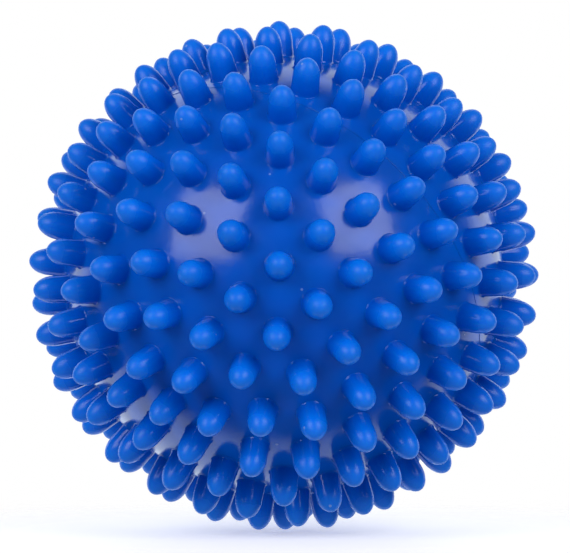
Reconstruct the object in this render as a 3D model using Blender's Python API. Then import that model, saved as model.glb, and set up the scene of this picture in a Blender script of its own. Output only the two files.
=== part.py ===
"""Nubbed massage ball, 90 mm over the nubs, in soft PVC, with a pull-out air stopper.

World axes: +X right, +Z up, +Y out of the valve. The origin is the centre of the ball. Lengths are in metres.
"""

import math

import bmesh
import bpy
from mathutils import Vector

MM = 0.001

# ---- ball ----
TIP_R = 45.0 * MM  # ball radius over the nub tips
SKIN_R = 38.65 * MM  # outside of the bare skin between the nubs
CAVITY_R = 35.65 * MM  # inside of the skin, so the wall is 3 mm

# ---- nub: (radius, height above the skin) from the foot up; the tip closes it ----
NUB_HEIGHT = TIP_R - SKIN_R
NUB_FOOT_R = 2.62 * MM
NUB_PROFILE = ((2.26 * MM, 3.3 * MM), (1.45 * MM, 5.55 * MM))
NUB_SIDES = 6
NUB_CORNER = 1.05  # corners stand out a little, so the flats and corners average to the round nub

# ---- nub layout: rings about the moulding axis, 12 degrees of latitude apart, mirrored at the mould seam ----
MOULD_AXIS = Vector((-0.487, -0.684, -0.543)).normalized()
RING_STEP = 12.0
# (nubs in the ring, first azimuth, drift in degrees, azimuth that the drift gathers toward)
NEAR_RINGS = (
    (29, 4.0, 0.0, 0.0),
    (28, 8.2, 0.0, 0.0),
    (25, 8.8, 0.0, 0.0),
    (21, 10.4, 4.4, 197.0),
    (17, 2.4, 0.0, 0.0),
    (12, 13.6, 5.1, 56.0),
    (6, 42.0, 0.0, 0.0),
    (1, 0.0, 0.0, 0.0),
)
FAR_RINGS = (
    (30, 6.2, 0.0, 0.0),
    (30, 0.0, 0.0, 0.0),
    (26, 6.2, 0.0, 0.0),
    (21, 9.0, 0.0, 0.0),
    (17, 15.0, 0.0, 0.0),
    (12, 5.0, 0.0, 0.0),
    (6, 30.0, 0.0, 0.0),
    (1, 0.0, 0.0, 0.0),
)

# ---- valve, on the +Y axis; heights are distances from the ball's centre ----
VALVE_AXIS = Vector((0.0, 1.0, 0.0))
VALVE_CLEAR = math.radians(10.2)  # no nub centre stands closer to the valve's axis than this
FIT_GAP = 0.15 * MM
FLANGE_R = 4.2 * MM
FLANGE_TOP = 38.95 * MM
FLANGE_THICK = 1.0 * MM
TUBE_R = 3.4 * MM
COLLAR_R = 6.4 * MM  # thickened ring of the skin round the hole, inside the ball
COLLAR_END = 32.25 * MM
LOCK_R = 4.3 * MM  # lip of the seat behind the collar
LOCK_END = 30.55 * MM
BORE_R = 2.1 * MM
HEAD_POCKET_R = 3.3 * MM
HEAD_POCKET_FLOOR = 38.05 * MM
HEAD_R = 3.1 * MM
HEAD_TOP = 39.25 * MM
STEM_R = 1.6 * MM
BEAD_R = 1.95 * MM
STEM_END = 28.85 * MM
TURN_STEPS = 32


def mould_frame():
    """Two directions across the moulding axis, from which azimuths are measured."""
    east = Vector((0.0, 0.0, 1.0)).cross(MOULD_AXIS).normalized()
    return east, MOULD_AXIS.cross(east)


def nub_directions():
    """Unit vectors from the ball's centre through every nub."""
    east, north = mould_frame()
    found = []
    for side, rings in ((1, NEAR_RINGS), (-1, FAR_RINGS)):
        for row, (count, first, drift, toward) in enumerate(rings):
            lat = side * math.radians(RING_STEP * (row + 0.5))
            for i in range(count):
                turn = first + 360.0 * i / count
                turn = math.radians(turn + drift * math.cos(math.radians(turn - toward)))
                flat = east * math.cos(turn) + north * math.sin(turn)
                aim = flat * math.cos(lat) + MOULD_AXIS * math.sin(lat)
                if aim.angle(VALVE_AXIS) > VALVE_CLEAR:
                    found.append(aim)
    return found


def across(aim):
    """Two directions across a nub's own axis."""
    one = aim.orthogonal().normalized()
    return one, aim.cross(one)


def ring_points(aim, radius, height, sides):
    """Points round a nub, at a radius from its axis and a distance from the ball's centre."""
    one, two = across(aim)
    points = []
    for k in range(sides):
        a = 2 * math.pi * k / sides
        points.append(aim * height + (one * math.cos(a) + two * math.sin(a)) * radius)
    return points


def studded_shell():
    """Closed outer surface of the ball: the nubs' feet, the skin stretched between them, then the nubs."""
    bm = bmesh.new()
    aims = nub_directions()
    owner = bm.verts.layers.int.new("owner")
    feet = []
    foot_r = NUB_FOOT_R * NUB_CORNER
    foot_h = math.sqrt(SKIN_R**2 - foot_r**2)
    for n, aim in enumerate(aims):
        ring = [bm.verts.new(p) for p in ring_points(aim, foot_r, foot_h, NUB_SIDES)]
        for v in ring:
            v[owner] = n + 1
        feet.append(ring)
    for turn in range(8):  # bare skin round the valve
        a = 2 * math.pi * (turn + 0.5) / 8
        lean = math.radians(5.5)
        out = Vector((math.sin(lean) * math.cos(a), math.cos(lean), math.sin(lean) * math.sin(a)))
        bm.verts.new(out * SKIN_R)
    bmesh.ops.convex_hull(bm, input=list(bm.verts), use_existing_faces=False)
    inside = [f for f in bm.faces if len({v[owner] for v in f.verts}) == 1 and f.verts[0][owner]]
    bmesh.ops.delete(bm, geom=inside, context="FACES_ONLY")
    across_foot = [
        e for e in bm.edges
        if not e.link_faces and e.verts[0][owner] == e.verts[1][owner] and e.verts[0][owner]
    ]
    bmesh.ops.delete(bm, geom=across_foot, context="EDGES")
    for n, aim in enumerate(aims):
        below = feet[n]
        for radius, height in NUB_PROFILE:
            ring = [
                bm.verts.new(p)
                for p in ring_points(aim, radius * NUB_CORNER, SKIN_R + height, NUB_SIDES)
            ]
            for k in range(NUB_SIDES):
                m = (k + 1) % NUB_SIDES
                bm.faces.new((below[k], below[m], ring[m], ring[k]))
            below = ring
        tip = bm.verts.new(aim * TIP_R)
        for k in range(NUB_SIDES):
            bm.faces.new((below[k], below[(k + 1) % NUB_SIDES], tip))
    bmesh.ops.triangulate(bm, faces=list(bm.faces))
    bmesh.ops.recalc_face_normals(bm, faces=list(bm.faces))
    return bm


def turned(profile, steps=TURN_STEPS):
    """Solid of revolution about the +Y axis from a closed (radius, y) outline; a radius of 0 is on the axis."""
    bm = bmesh.new()
    rings = []
    for radius, y in profile:
        if radius < 1e-9:
            rings.append([bm.verts.new((0.0, y, 0.0))])
            continue
        rings.append([
            bm.verts.new((radius * math.cos(2 * math.pi * k / steps), y, radius * math.sin(2 * math.pi * k / steps)))
            for k in range(steps)
        ])
    closed_on_axis = len(rings[0]) == 1 and len(rings[-1]) == 1
    pairs = list(zip(rings, rings[1:])) + ([] if closed_on_axis else [(rings[-1], rings[0])])
    for low, high in pairs:
        for k in range(steps):
            m = (k + 1) % steps
            corners = [low[k % len(low)], low[m % len(low)], high[m % len(high)], high[k % len(high)]]
            unique = []
            for v in corners:
                if v not in unique:
                    unique.append(v)
            bm.faces.new(unique)
    bmesh.ops.recalc_face_normals(bm, faces=list(bm.faces))
    return bm


def named_object(name, bm, material=None, sharp=35.0):
    mesh = bpy.data.meshes.new(name)
    bm.to_mesh(mesh)
    bm.free()
    mesh.shade_smooth()
    mesh.set_sharp_from_angle(angle=math.radians(sharp))
    obj = bpy.data.objects.new(name, mesh)
    bpy.context.scene.collection.objects.link(obj)
    if material:
        mesh.materials.append(material)
    return obj


def soft_plastic(name, color, roughness):
    mat = bpy.data.materials.new(name)
    mat.use_nodes = True
    shader = mat.node_tree.nodes["Principled BSDF"]
    shader.inputs["Base Color"].default_value = (*color, 1.0)
    shader.inputs["Roughness"].default_value = roughness
    return mat


def cavity_profile():
    """The air space, the collar round the hole and the stepped hole, run well past the skin."""
    points = [(0.0, -CAVITY_R)]
    low = -math.pi / 2
    high = math.acos(COLLAR_R / CAVITY_R)
    steps = 16
    for i in range(1, steps + 1):
        a = low + (high - low) * i / steps
        points.append((CAVITY_R * math.cos(a), CAVITY_R * math.sin(a)))
    hole = TUBE_R + FIT_GAP
    seat = FLANGE_TOP - FLANGE_THICK - FIT_GAP
    points += [
        (COLLAR_R, COLLAR_END),
        (hole, COLLAR_END),
        (hole, seat),
        (FLANGE_R + FIT_GAP, seat),
        (FLANGE_R + FIT_GAP, TIP_R + 5 * MM),
        (0.0, TIP_R + 5 * MM),
    ]
    return points


def seat_profile():
    under = FLANGE_TOP - FLANGE_THICK
    return [
        (BORE_R, LOCK_END),
        (LOCK_R - 0.7 * MM, LOCK_END),
        (LOCK_R, COLLAR_END - 3 * FIT_GAP),
        (LOCK_R, COLLAR_END - FIT_GAP),
        (TUBE_R, COLLAR_END - FIT_GAP),
        (TUBE_R, under),
        (FLANGE_R, under),
        (FLANGE_R, FLANGE_TOP - 0.3 * MM),
        (FLANGE_R - 0.3 * MM, FLANGE_TOP),
        (HEAD_POCKET_R, FLANGE_TOP),
        (HEAD_POCKET_R, HEAD_POCKET_FLOOR),
        (BORE_R, HEAD_POCKET_FLOOR),
    ]


def plug_profile():
    under = HEAD_POCKET_FLOOR + FIT_GAP
    return [
        (0.0, STEM_END),
        (1.0 * MM, STEM_END),
        (BEAD_R, STEM_END + 1.0 * MM),
        (BEAD_R, STEM_END + 1.8 * MM),
        (STEM_R, STEM_END + 2.4 * MM),
        (STEM_R, under - 1.6 * MM),
        (BEAD_R, under - 1.0 * MM),
        (BEAD_R, under),
        (HEAD_R, under),
        (HEAD_R, HEAD_TOP - 0.3 * MM),
        (HEAD_R - 0.3 * MM, HEAD_TOP),
        (0.0, HEAD_TOP),
    ]


def main():
    for old in list(bpy.data.objects):
        bpy.data.objects.remove(old, do_unlink=True)

    ball_blue = soft_plastic("ball_blue", (0.005, 0.085, 0.55), 0.28)
    seat_blue = soft_plastic("seat_blue", (0.004, 0.06, 0.42), 0.35)
    plug_blue = soft_plastic("plug_blue", (0.01, 0.12, 0.62), 0.3)

    skin = named_object("ball_skin", studded_shell(), ball_blue, sharp=60.0)
    air = named_object("air_space_cutter", turned(cavity_profile(), 40))
    air.hide_render = True
    air.display_type = "WIRE"
    cut = skin.modifiers.new("air_space", "BOOLEAN")
    cut.operation = "DIFFERENCE"
    cut.solver = "EXACT"
    cut.object = air

    named_object("valve_seat", turned(seat_profile()), seat_blue)
    named_object("valve_plug", turned(plug_profile()), plug_blue)


main()
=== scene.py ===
"""Looks of the nubbed massage ball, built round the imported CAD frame. Lengths are in metres."""

import math

import bmesh
import bpy
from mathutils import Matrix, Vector, kdtree


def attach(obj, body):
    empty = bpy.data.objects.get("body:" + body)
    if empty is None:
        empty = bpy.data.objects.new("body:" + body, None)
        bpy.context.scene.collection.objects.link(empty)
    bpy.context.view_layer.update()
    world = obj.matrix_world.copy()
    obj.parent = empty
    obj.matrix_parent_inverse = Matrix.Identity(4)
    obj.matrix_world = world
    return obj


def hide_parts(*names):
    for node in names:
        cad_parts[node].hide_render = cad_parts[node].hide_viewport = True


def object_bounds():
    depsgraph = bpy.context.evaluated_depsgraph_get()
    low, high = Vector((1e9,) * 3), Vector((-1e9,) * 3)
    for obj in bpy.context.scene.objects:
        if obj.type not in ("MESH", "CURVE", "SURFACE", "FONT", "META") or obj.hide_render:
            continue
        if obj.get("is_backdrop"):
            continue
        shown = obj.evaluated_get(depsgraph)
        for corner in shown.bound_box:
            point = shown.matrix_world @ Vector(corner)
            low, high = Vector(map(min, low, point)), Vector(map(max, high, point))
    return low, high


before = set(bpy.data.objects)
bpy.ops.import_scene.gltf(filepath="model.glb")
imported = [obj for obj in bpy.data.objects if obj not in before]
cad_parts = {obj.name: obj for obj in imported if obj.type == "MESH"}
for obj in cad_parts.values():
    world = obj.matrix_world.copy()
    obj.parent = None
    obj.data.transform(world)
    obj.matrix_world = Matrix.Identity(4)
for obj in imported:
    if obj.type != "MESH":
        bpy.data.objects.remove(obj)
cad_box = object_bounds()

MM = 0.001

# ---- ball sizes, as in the CAD ----
TIP_R = 45.0 * MM
SKIN_R = 38.65 * MM
NET_LEVEL = 5  # subdivisions of the net of points on the bare skin
FOOT_MARGIN = 0.22 * MM  # the net stays this far from a nub's foot

# ---- one nub: a small fillet at the foot, a slight taper, and half an ellipse on top ----
NUB_HEIGHT = TIP_R - SKIN_R
NUB_SIDES = 18
FOOT_R = 2.70 * MM
FILLET_TOP_R = 2.48 * MM
FILLET_HEIGHT = 0.45 * MM
DOME_R = 2.38 * MM
DOME_START = 2.65 * MM
FILLET_STEPS, TAPER_STEPS, DOME_STEPS = 4, 4, 8

# ---- seam bead, where the halves of the mould met ----
SEAM_R = 0.06 * MM
SEAM_STEPS, SEAM_SIDES = 720, 8

# ---- nub layout, as in the CAD: rings about the moulding axis, 12 degrees of latitude apart ----
MOULD_AXIS = Vector((-0.487, -0.684, -0.543)).normalized()
RING_STEP = 12.0
NEAR_RINGS = (
    (29, 4.0, 0.0, 0.0),
    (28, 8.2, 0.0, 0.0),
    (25, 8.8, 0.0, 0.0),
    (21, 10.4, 4.4, 197.0),
    (17, 2.4, 0.0, 0.0),
    (12, 13.6, 5.1, 56.0),
    (6, 42.0, 0.0, 0.0),
    (1, 0.0, 0.0, 0.0),
)
FAR_RINGS = (
    (30, 6.2, 0.0, 0.0),
    (30, 0.0, 0.0, 0.0),
    (26, 6.2, 0.0, 0.0),
    (21, 9.0, 0.0, 0.0),
    (17, 15.0, 0.0, 0.0),
    (12, 5.0, 0.0, 0.0),
    (6, 30.0, 0.0, 0.0),
    (1, 0.0, 0.0, 0.0),
)

# ---- valve, on the +Y axis ----
VALVE_AXIS = Vector((0.0, 1.0, 0.0))
VALVE_CLEAR = math.radians(10.2)
FLANGE_R = 4.2 * MM
FIT_GAP = 0.15 * MM
FLANGE_TOP = 38.95 * MM
FLANGE_THICK = 1.0 * MM
HEAD_POCKET_R = 3.3 * MM
HEAD_POCKET_FLOOR = 38.05 * MM
BORE_R = 2.1 * MM
TUBE_R = 3.4 * MM
LOCK_R = 4.3 * MM
LOCK_END = 30.55 * MM
COLLAR_R = 6.4 * MM
COLLAR_END = 32.25 * MM
CAVITY_R = 35.65 * MM
HEAD_R = 3.1 * MM
HEAD_TOP = 39.25 * MM
STEM_R = 1.6 * MM
BEAD_R = 1.95 * MM
STEM_END = 28.85 * MM
VALVE_SIDES = 72
HOLLOW_STEPS = 24

SEAT_EDGE_R = 0.35 * MM  # the soft corners of the seat and of the plug
PLUG_EDGE_R = 0.3 * MM
LIP = 0.08 * MM  # the step just inside the edge of the skin's hole

SPHERE_SLACK = 0.005 * MM  # a point this near to the skin's radius counts as on it
NUB_MATERIAL = 1  # the skin's own material slot is 0
SOFT, HARD = True, False  # corners of a turned outline
SKIN_CREASE, TURNED_CREASE = 75, 40  # degrees: steeper edges are drawn sharp

# ---- vinyl ----
CLOUD = (55.0, 3.0)  # scale and detail of the noise that drifts the colour
SMEAR = (260.0, 4.0)  # of the uneven gloss
RIPPLE = (330.0, 2.0)  # of the slight waves in the moulded face
GRAIN = (1900.0, 2.0)  # of the fine mould texture
# the height share is painted shade: darker down at the skin between the nubs, lighter at the tips
PAINTED_SHADE_SHARE, CLOUD_SHARE = 0.55, 0.35  # what each adds to the mix from deep to light
GLOSS_LESS, GLOSS_MORE = 0.04, 0.06  # how far the smears move the roughness
RIPPLE_RELIEF, GRAIN_RELIEF, DUST_RELIEF = 0.5, 0.2, 0.8
RELIEF_STRENGTH = 0.8
RELIEF_DEPTH = 0.05 * MM
GLOW_SHARE = 0.25  # light that enters the vinyl and comes out again, and how far each colour goes
GLOW_REACH = (0.3, 0.7, 1.6)

# ---- dust on the vinyl ----
DUST = (0.28, 0.42, 0.80)
DUST_CELLS = 190.0
DUST_SIZE = 0.05
DUST_LEFT_OUT = 0.45  # the share of the cells without a speck
DUST_SHARE = 0.5

# ---- studio ----
WHITE = (1.0, 1.0, 1.0)
COOL_WHITE = (0.80, 0.90, 1.0)  # the surroundings as the vinyl mirrors them
DARK = 0.015  # the surroundings on the camera's side
WHITE_FROM, WHITE_TO = 0.40, 0.62  # how far behind the ball they turn from dark to white
WHITE_LEAN = 0.42  # how much sooner they do so below it
MIRROR_BOOST = 0.6
FILL, FILL_BELOW = 0.23, 0.55
SOFTBOX_SIDE = 0.46
SOFTBOX_AWAY = 0.75
SOFTBOX_WATTS = 2.9
SOFTBOXES = {"softbox_left": (-0.615, -0.664, 0.423), "softbox_right": (0.589, -0.66, 0.465)}
FLOOR_R = 0.6
FLOOR_DROP = 0.2 * MM  # below the lowest nub
FLOOR_WHITE = (0.86, 0.86, 0.86)
FLOOR_GLOW = 0.42
FLOOR_FADE_FROM, FLOOR_FADE_TO = 0.02, 0.11
CAMERA_AWAY = 0.687
LENS = 245.7
CAMERA_SHIFT = (0.0016, -0.0007)


# ---------------------------------------------------------------- shapes

def nub_directions():
    """Unit vectors along the nubs, less any that the valve leaves no room for.

    A ring is (how many nubs, the turn of the first, how far they drift, the turn where they drift most).
    """
    east = Vector((0.0, 0.0, 1.0)).cross(MOULD_AXIS).normalized()
    north = MOULD_AXIS.cross(east)
    found = []
    for side, rings in ((1, NEAR_RINGS), (-1, FAR_RINGS)):
        for row, (count, first, drift, toward) in enumerate(rings):
            lat = side * math.radians(RING_STEP * (row + 0.5))
            for i in range(count):
                turn = first + 360.0 * i / count
                turn = math.radians(turn + drift * math.cos(math.radians(turn - toward)))
                flat = east * math.cos(turn) + north * math.sin(turn)
                aim = flat * math.cos(lat) + MOULD_AXIS * math.sin(lat)
                if aim.angle(VALVE_AXIS) > VALVE_CLEAR:
                    found.append(aim)
    return found


def nub_outline():
    """(radius, height above the skin) of each ring of a nub, from the foot up to just under the tip."""
    points = []
    for i in range(1, FILLET_STEPS + 1):
        a = math.pi / 2 * i / FILLET_STEPS
        radius = FOOT_R - (FOOT_R - FILLET_TOP_R) * math.sin(a)
        points.append((radius, FILLET_HEIGHT * (1 - math.cos(a))))
    for i in range(1, TAPER_STEPS + 1):
        t = i / TAPER_STEPS
        ease = (1 - math.cos(math.pi * t)) / 2
        radius = FILLET_TOP_R + (DOME_R - FILLET_TOP_R) * ease
        points.append((radius, FILLET_HEIGHT + (DOME_START - FILLET_HEIGHT) * t))
    for i in range(1, DOME_STEPS):
        a = math.pi / 2 * i / DOME_STEPS
        points.append((DOME_R * math.cos(a), DOME_START + (NUB_HEIGHT - DOME_START) * math.sin(a)))
    return points


def circle(aim, radius, height, sides):
    """Points of a circle square to aim, at this height along it."""
    one = aim.orthogonal().normalized()
    two = aim.cross(one)
    turn = 2 * math.pi / sides
    return [
        aim * height + (one * math.cos(turn * k) + two * math.sin(turn * k)) * radius
        for k in range(sides)
    ]


def bridge(bm, below, above, material=0):
    """Faces between two rings of points, or between a ring and the single point that closes it."""
    sides = max(len(below), len(above))
    for k in range(sides):
        corners = []
        for ring, at in ((below, k), (below, k + 1), (above, k + 1), (above, k)):
            vert = ring[at % len(ring)]
            if vert not in corners:
                corners.append(vert)
        bm.faces.new(corners).material_index = material


def add_ring(bm, aim, radius, height, sides):
    return [bm.verts.new(p) for p in circle(aim, radius, height, sides)]


def add_object(name, bm, sharp=None, round_at=None):
    """A smooth-shaded object. Points at the distance round_at get the normal of a true sphere."""
    bmesh.ops.recalc_face_normals(bm, faces=list(bm.faces))
    mesh = bpy.data.meshes.new(name)
    bm.to_mesh(mesh)
    bm.free()
    mesh.shade_smooth()
    if sharp is not None:
        mesh.set_sharp_from_angle(angle=math.radians(sharp))
    if round_at is not None:
        normals = []
        for loop in mesh.loops:
            point = mesh.vertices[loop.vertex_index].co
            on_sphere = abs(point.length - round_at) < SPHERE_SLACK
            normals.append(point.normalized() if on_sphere else Vector((0.0, 0.0, 0.0)))
        mesh.normals_split_custom_set(normals)
    obj = bpy.data.objects.new(name, mesh)
    bpy.context.scene.collection.objects.link(obj)
    return obj


def skin_net(aims, hole_r):
    """Points spread over the bare skin, clear of every nub's foot and of the valve's hole."""
    tree = kdtree.KDTree(len(aims))
    for n, aim in enumerate(aims):
        tree.insert(aim, n)
    tree.balance()
    nub_clear = (FOOT_R + FOOT_MARGIN) / SKIN_R
    valve_clear = (hole_r + FOOT_MARGIN) / SKIN_R
    net = bmesh.new()
    bmesh.ops.create_icosphere(net, subdivisions=NET_LEVEL, radius=1.0)
    for vert in net.verts:
        aim = vert.co.normalized()
        if tree.find(aim)[2] > nub_clear and aim.angle(VALVE_AXIS) > valve_clear:
            yield aim * SKIN_R
    net.free()


def studded_skin():
    """The outer skin with its nubs, the hole for the valve, and the hollow inside.

    Every foot ring lies on the sphere, and so do the net's points between the feet. Their convex hull is
    the bare skin, once the faces that would close a foot ring have been taken out.
    """
    bm = bmesh.new()
    owner = bm.verts.layers.int.new("owner")
    aims = nub_directions()
    hole_r = FLANGE_R + FIT_GAP
    rims = [(aim, FOOT_R, NUB_SIDES) for aim in aims] + [(VALVE_AXIS, hole_r, VALVE_SIDES)]
    rings = []
    for n, (aim, radius, sides) in enumerate(rims, start=1):
        ring = add_ring(bm, aim, radius, math.sqrt(SKIN_R**2 - radius**2), sides)
        for vert in ring:
            vert[owner] = n
        rings.append(ring)
    for point in skin_net(aims, hole_r):
        bm.verts.new(point)
    bmesh.ops.convex_hull(bm, input=list(bm.verts), use_existing_faces=False)
    lids = [f for f in bm.faces if f.verts[0][owner] and len({v[owner] for v in f.verts}) == 1]
    bmesh.ops.delete(bm, geom=lids, context="FACES_ONLY")
    loose = [e for e in bm.edges if not e.link_faces]
    bmesh.ops.delete(bm, geom=loose, context="EDGES")

    outline = nub_outline()
    for aim, below in zip(aims, rings):
        for radius, height in outline:
            above = add_ring(bm, aim, radius, SKIN_R + height, NUB_SIDES)
            bridge(bm, below, above, NUB_MATERIAL)
            below = above
        bridge(bm, below, [bm.verts.new(aim * TIP_R)], NUB_MATERIAL)

    below = rings[-1]
    for radius, y in valve_hole(hole_r) + hollow():
        above = add_ring(bm, VALVE_AXIS, radius, y, VALVE_SIDES)
        bridge(bm, below, above)
        below = above
    bridge(bm, below, [bm.verts.new(VALVE_AXIS * -CAVITY_R)])
    return add_object("ball_skin_moulded", bm, sharp=SKIN_CREASE, round_at=SKIN_R)


def valve_hole(hole_r):
    """(radius, y) down the hole: a small lip, the step under the flange, the bore and the collar."""
    step = FLANGE_TOP - FLANGE_THICK - FIT_GAP
    bore = TUBE_R + FIT_GAP
    return [
        (hole_r - LIP, math.sqrt(SKIN_R**2 - hole_r**2) - LIP),
        (hole_r - LIP, step),
        (bore, step),
        (bore, COLLAR_END),
        (COLLAR_R, COLLAR_END),
    ]


def hollow():
    """(radius, y) round the inside of the ball, from the collar to just before the far pole."""
    start = math.acos(COLLAR_R / CAVITY_R)
    turns = [start - (start + math.pi / 2) * i / HOLLOW_STEPS for i in range(HOLLOW_STEPS)]
    return [(CAVITY_R * math.cos(a), CAVITY_R * math.sin(a)) for a in turns]


def seam_bead():
    """Thin raised line round the ball, a little uneven in place and size."""
    bm = bmesh.new()
    one = MOULD_AXIS.orthogonal().normalized()
    two = MOULD_AXIS.cross(one)
    rings = []
    for i in range(SEAM_STEPS):
        a = 2 * math.pi * i / SEAM_STEPS
        out = one * math.cos(a) + two * math.sin(a)
        wander = SEAM_R * (0.3 * math.sin(23 * a) + 0.2 * math.sin(57 * a + 1))
        size = SEAM_R * (1 + 0.25 * math.sin(31 * a) * math.sin(7 * a + 2))
        ring = []
        for k in range(SEAM_SIDES):
            b = 2 * math.pi * k / SEAM_SIDES
            rise = SKIN_R + size * 0.9 * math.cos(b)
            ring.append(bm.verts.new(out * rise + MOULD_AXIS * (size * math.sin(b) + wander)))
        rings.append(ring)
    for ring, after in zip(rings, rings[1:] + rings[:1]):
        bridge(bm, ring, after)
    return add_object("mould_seam", bm)


def turned(name, profile):
    """Solid of revolution about +Y, from an outline that is closed or has both ends on the axis."""
    bm = bmesh.new()
    rings = []
    for radius, y in profile:
        if radius == 0:
            rings.append([bm.verts.new(VALVE_AXIS * y)])
        else:
            rings.append(add_ring(bm, VALVE_AXIS, radius, y, VALVE_SIDES))
    if len(rings[0]) > 1:
        rings.append(rings[0])
    for below, above in zip(rings, rings[1:]):
        bridge(bm, below, above)
    return add_object(name, bm, sharp=TURNED_CREASE)


def rounded(corners, radius, steps=4):
    """A closed (radius, y) outline in which each corner marked SOFT becomes a small arc."""
    out = []
    for i, (r, y, soft) in enumerate(corners):
        here = Vector((r, y))
        if not soft:
            out.append((r, y))
            continue
        before = Vector(corners[i - 1][:2]) - here
        after = Vector(corners[(i + 1) % len(corners)][:2]) - here
        reach = min(radius, before.length * 0.45, after.length * 0.45)
        a, b = here + before.normalized() * reach, here + after.normalized() * reach
        for s in range(steps + 1):
            t = s / steps
            out.append(tuple(a * (1 - t) ** 2 + here * (2 * t * (1 - t)) + b * t**2))
    return out


def valve_seat():
    """Grommet: a flange with a pocket for the stopper's head, a tube, and a lock ring at the inner end."""
    under = FLANGE_TOP - FLANGE_THICK
    lock_face = COLLAR_END - FIT_GAP
    return turned("valve_seat_grommet", rounded([
        (BORE_R, LOCK_END, SOFT),
        (LOCK_R - 0.7 * MM, LOCK_END, SOFT),
        (LOCK_R, lock_face - 0.3 * MM, SOFT),
        (LOCK_R, lock_face, HARD),
        (TUBE_R, lock_face, HARD),
        (TUBE_R, under, HARD),
        (FLANGE_R, under, HARD),
        (FLANGE_R, FLANGE_TOP, SOFT),
        (HEAD_POCKET_R, FLANGE_TOP, SOFT),
        (HEAD_POCKET_R, HEAD_POCKET_FLOOR, HARD),
        (BORE_R, HEAD_POCKET_FLOOR, SOFT),
    ], SEAT_EDGE_R))


def valve_plug():
    """Stopper: a round head with a shallow ring in its face, and a stem with a bead at each end."""
    under = HEAD_POCKET_FLOOR + FIT_GAP
    ring_r, ring_half, ring_deep = 2.15 * MM, 0.2 * MM, 0.14 * MM
    return turned("valve_plug_stopper", rounded([
        (0.0, STEM_END, HARD),
        (1.0 * MM, STEM_END, SOFT),
        (BEAD_R, STEM_END + 1.0 * MM, SOFT),
        (BEAD_R, STEM_END + 1.8 * MM, SOFT),
        (STEM_R, STEM_END + 2.4 * MM, SOFT),
        (STEM_R, under - 1.6 * MM, SOFT),
        (BEAD_R, under - 1.0 * MM, SOFT),
        (BEAD_R, under, HARD),
        (HEAD_R, under, HARD),
        (HEAD_R, HEAD_TOP, SOFT),
        (ring_r + ring_half, HEAD_TOP, SOFT),
        (ring_r, HEAD_TOP - ring_deep, SOFT),
        (ring_r - ring_half, HEAD_TOP, SOFT),
        (0.0, HEAD_TOP, HARD),
    ], PLUG_EDGE_R))


# ---------------------------------------------------------------- materials

def add_math(tree, operation, a, b):
    """A Math node's output; a and b are numbers or other nodes' outputs."""
    node = tree.nodes.new("ShaderNodeMath")
    node.operation = operation
    for socket, value in zip(node.inputs, (a, b)):
        if isinstance(value, (int, float)):
            socket.default_value = value
        else:
            tree.links.new(value, socket)
    return node.outputs[0]


def add_range(tree, value, low, high, to_low=0.0, to_high=1.0, smooth=False):
    node = tree.nodes.new("ShaderNodeMapRange")
    node.interpolation_type = "SMOOTHSTEP" if smooth else "LINEAR"
    node.inputs["From Min"].default_value = low
    node.inputs["From Max"].default_value = high
    node.inputs["To Min"].default_value = to_low
    node.inputs["To Max"].default_value = to_high
    tree.links.new(value, node.inputs["Value"])
    return node.outputs["Result"]


def add_noise(tree, place, scale, detail):
    node = tree.nodes.new("ShaderNodeTexNoise")
    node.inputs["Scale"].default_value = scale
    node.inputs["Detail"].default_value = detail
    tree.links.new(place, node.inputs["Vector"])
    return node.outputs["Fac"]


def add_mix(tree, share, first, second):
    """A colour mix; first is a colour or an output, second is a colour."""
    node = tree.nodes.new("ShaderNodeMix")
    node.data_type = "RGBA"
    if isinstance(first, tuple):
        node.inputs["A"].default_value = (*first, 1.0)
    else:
        tree.links.new(first, node.inputs["A"])
    node.inputs["B"].default_value = (*second, 1.0)
    tree.links.new(share, node.inputs["Factor"])
    return node.outputs["Result"]


def distance_from_centre(tree, place):
    node = tree.nodes.new("ShaderNodeVectorMath")
    node.operation = "LENGTH"
    tree.links.new(place, node.inputs[0])
    return node.outputs["Value"]


def dust_specks(tree, place):
    """1 on a few tiny round specks, up to half a millimetre across, and 0 elsewhere."""
    node = tree.nodes.new("ShaderNodeTexVoronoi")
    node.inputs["Scale"].default_value = DUST_CELLS
    tree.links.new(place, node.inputs["Vector"])
    chance = tree.nodes.new("ShaderNodeSeparateColor")
    tree.links.new(node.outputs["Color"], chance.inputs["Color"])
    small = add_math(tree, "LESS_THAN", node.outputs["Distance"], DUST_SIZE)
    chosen = add_math(tree, "GREATER_THAN", chance.outputs["Red"], DUST_LEFT_OUT)
    return add_math(tree, "MULTIPLY", small, chosen)


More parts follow.
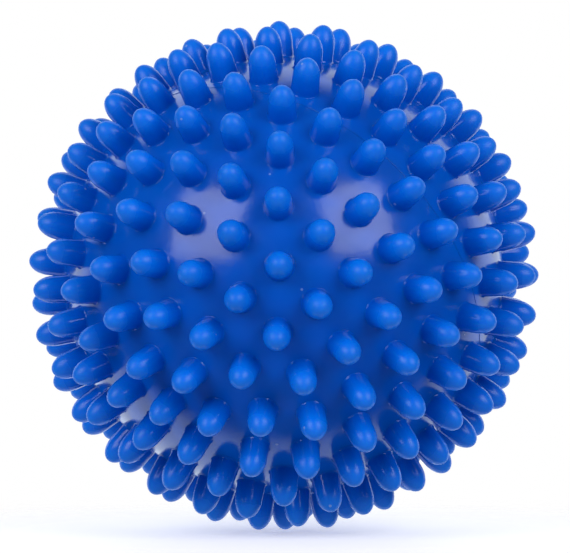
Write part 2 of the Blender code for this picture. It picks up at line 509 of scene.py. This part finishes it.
def vinyl(name, deep, light, roughness, ior, matt_tip=0.0):
    """Soft PVC, with the deep colour down at the skin as painted shade and the light one at the nubs' tips
    as painted light.

    The colour drifts a little, the gloss is uneven, and the surface has a fine mould texture and specks
    of dust. matt_tip is how much rougher a nub's tip is than its sides.
    """
    material = bpy.data.materials.new(name)
    material.use_nodes = True
    tree = material.node_tree
    shader = tree.nodes["Principled BSDF"]
    place = tree.nodes.new("ShaderNodeTexCoord").outputs["Object"]
    away = distance_from_centre(tree, place)
    # painted shade and light: the colour is darker down at the skin between the nubs and lighter towards
    # the nubs' tips
    rise = add_range(tree, away, SKIN_R + 0.3 * MM, TIP_R - 1.5 * MM)
    tip = add_range(tree, away, TIP_R - 4.2 * MM, TIP_R)
    specks = dust_specks(tree, place)

    drift = add_math(tree, "MULTIPLY", add_noise(tree, place, *CLOUD), CLOUD_SHARE)
    painted_shade_and_drift = add_math(tree, "ADD", add_math(tree, "MULTIPLY", rise, PAINTED_SHADE_SHARE), drift)
    colour = add_mix(tree, painted_shade_and_drift, deep, light)
    colour = add_mix(tree, add_math(tree, "MULTIPLY", specks, DUST_SHARE), colour, DUST)
    tree.links.new(colour, shader.inputs["Base Color"])

    smear = add_noise(tree, place, *SMEAR)
    gloss = add_range(tree, smear, 0.3, 0.7, roughness - GLOSS_LESS, roughness + GLOSS_MORE)
    gloss = add_math(tree, "ADD", gloss, add_math(tree, "MULTIPLY", tip, matt_tip))
    tree.links.new(gloss, shader.inputs["Roughness"])

    grain = add_math(tree, "MULTIPLY", add_noise(tree, place, *GRAIN), GRAIN_RELIEF)
    ripple = add_math(tree, "MULTIPLY", add_noise(tree, place, *RIPPLE), RIPPLE_RELIEF)
    bumps = add_math(tree, "MULTIPLY", specks, DUST_RELIEF)
    relief = add_math(tree, "ADD", add_math(tree, "ADD", grain, ripple), bumps)
    bump = tree.nodes.new("ShaderNodeBump")
    bump.inputs["Strength"].default_value = RELIEF_STRENGTH
    bump.inputs["Distance"].default_value = RELIEF_DEPTH
    tree.links.new(relief, bump.inputs["Height"])
    tree.links.new(bump.outputs["Normal"], shader.inputs["Normal"])

    shader.inputs["IOR"].default_value = ior
    shader.inputs["Subsurface Weight"].default_value = GLOW_SHARE
    shader.inputs["Subsurface Radius"].default_value = GLOW_REACH
    shader.inputs["Subsurface Scale"].default_value = 1.0 * MM
    return material


def pale_floor():
    """Near-white floor that fades out into the white surroundings away from the ball."""
    material = bpy.data.materials.new("pale_floor")
    material.use_nodes = True
    tree = material.node_tree
    shader = tree.nodes["Principled BSDF"]
    shader.inputs["Base Color"].default_value = (*FLOOR_WHITE, 1.0)
    shader.inputs["Roughness"].default_value = 0.6
    shader.inputs["Emission Color"].default_value = (*WHITE, 1.0)
    shader.inputs["Emission Strength"].default_value = FLOOR_GLOW
    place = tree.nodes.new("ShaderNodeTexCoord").outputs["Object"]
    away = distance_from_centre(tree, place)
    fade = add_range(tree, away, FLOOR_FADE_FROM, FLOOR_FADE_TO, 1.0, 0.0, smooth=True)
    tree.links.new(fade, shader.inputs["Alpha"])
    return material


# ---------------------------------------------------------------- the object

PIECES = (
    # piece, body, CAD node it replaces, slot, materials
    (studded_skin, "ball", "ball_skin", "ball_vinyl", ("skin", "nub")),
    (seam_bead, "ball", None, "ball_vinyl", ("skin",)),
    (valve_seat, "ball", "valve_seat", "seat_vinyl", ("seat",)),
    (valve_plug, "stopper", "valve_plug", "plug_vinyl", ("plug",)),
)
# deep and light colours of each vinyl; the deep one is painted shade at the skin, the light one painted
# light at the nubs' tips
VINYLS = {
    "skin": vinyl("vinyl_blue_skin", (0.0, 0.074, 0.50), (0.0, 0.205, 0.90), 0.16, 1.45),
    "nub": vinyl("vinyl_blue_nub", (0.0, 0.071, 0.50), (0.0, 0.205, 0.93), 0.11, 1.35, 0.34),
    "seat": vinyl("vinyl_blue_seat", (0.001, 0.050, 0.36), (0.0015, 0.070, 0.46), 0.26, 1.45),
    "plug": vinyl("vinyl_blue_plug", (0.002, 0.090, 0.55), (0.0030, 0.120, 0.66), 0.24, 1.45),
}
for make, body, node, slot, vinyls in PIECES:
    piece = make()
    for key in vinyls:
        piece.data.materials.append(VINYLS[key])
    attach(piece, body)
    if node:
        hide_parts(node)


# ---------------------------------------------------------------- floor, light and camera

def floor():
    """The ball's shadow falls on it, but it neither shows in the gloss nor lights the ball from below."""
    bm = bmesh.new()
    bmesh.ops.create_circle(bm, cap_ends=True, segments=96, radius=FLOOR_R)
    obj = add_object("floor", bm)
    obj.location = (0.0, 0.0, cad_box[0][2] - FLOOR_DROP)
    obj.data.materials.append(pale_floor())
    obj.visible_glossy = False
    obj.visible_diffuse = False
    obj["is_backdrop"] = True


def surroundings():
    """White studio behind and below the ball, and dark on the camera's side.

    So the near skin mirrors only the softboxes, and the nubs' edges mirror the white behind them.
    """
    world = bpy.data.worlds.new("studio")
    bpy.context.scene.world = world
    world.use_nodes = True
    tree = world.node_tree
    split = tree.nodes.new("ShaderNodeSeparateXYZ")
    tree.links.new(tree.nodes.new("ShaderNodeTexCoord").outputs["Generated"], split.inputs[0])
    below = add_math(tree, "MAXIMUM", add_math(tree, "MULTIPLY", split.outputs["Z"], -1.0), 0.0)
    lean = add_math(tree, "MULTIPLY", below, WHITE_LEAN)
    behind = add_math(tree, "ADD", split.outputs["Y"], lean)
    white = add_range(tree, behind, WHITE_FROM, WHITE_TO, DARK, 1.0, smooth=True)
    ray = tree.nodes.new("ShaderNodeLightPath")
    mirrored = ray.outputs["Is Glossy Ray"]
    gloss = add_math(tree, "ADD", add_math(tree, "MULTIPLY", mirrored, MIRROR_BOOST), 1.0)
    soft = add_math(tree, "ADD", add_math(tree, "MULTIPLY", below, FILL_BELOW), FILL)
    fill = add_math(tree, "MULTIPLY", ray.outputs["Is Diffuse Ray"], soft)
    light = add_math(tree, "MAXIMUM", add_math(tree, "MULTIPLY", white, gloss), fill)
    strength = add_math(tree, "MAXIMUM", light, ray.outputs["Is Camera Ray"])
    tree.links.new(strength, tree.nodes["Background"].inputs["Strength"])
    tint = add_mix(tree, mirrored, WHITE, COOL_WHITE)
    tree.links.new(tint, tree.nodes["Background"].inputs["Color"])


def softbox(name, direction):
    """Square lamp facing the ball from this direction; the skin mirrors it as a pale patch."""
    light = bpy.data.lights.new(name, "AREA")
    light.shape = "SQUARE"
    light.size = SOFTBOX_SIDE
    light.energy = SOFTBOX_WATTS
    obj = bpy.data.objects.new(name, light)
    bpy.context.scene.collection.objects.link(obj)
    aim = Vector(direction).normalized()
    obj.location = aim * SOFTBOX_AWAY
    obj.rotation_euler = (-aim).to_track_quat("-Z", "Y").to_euler()
    obj.visible_camera = False


def camera():
    """Level long-lens view along +Y, with the ball in the middle."""
    cam = bpy.data.cameras.new("camera")
    cam.sensor_fit = "HORIZONTAL"
    cam.sensor_width = 36.0
    cam.lens = LENS
    cam.shift_x, cam.shift_y = CAMERA_SHIFT
    cam.clip_start, cam.clip_end = 0.01, 20.0
    obj = bpy.data.objects.new("camera", cam)
    bpy.context.scene.collection.objects.link(obj)
    obj.location = (0.0, -CAMERA_AWAY, 0.0)
    obj.rotation_euler = (math.pi / 2, 0.0, 0.0)
    bpy.context.scene.camera = obj


floor()
surroundings()
for name, direction in SOFTBOXES.items():
    softbox(name, direction)
camera()
bpy.context.scene.view_settings.view_transform = "Standard"

visual_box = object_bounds()
boxes = {"cad": cad_box, "visual": visual_box}
{name: [[float(x) for x in corner] for corner in box] for name, box in boxes.items()}
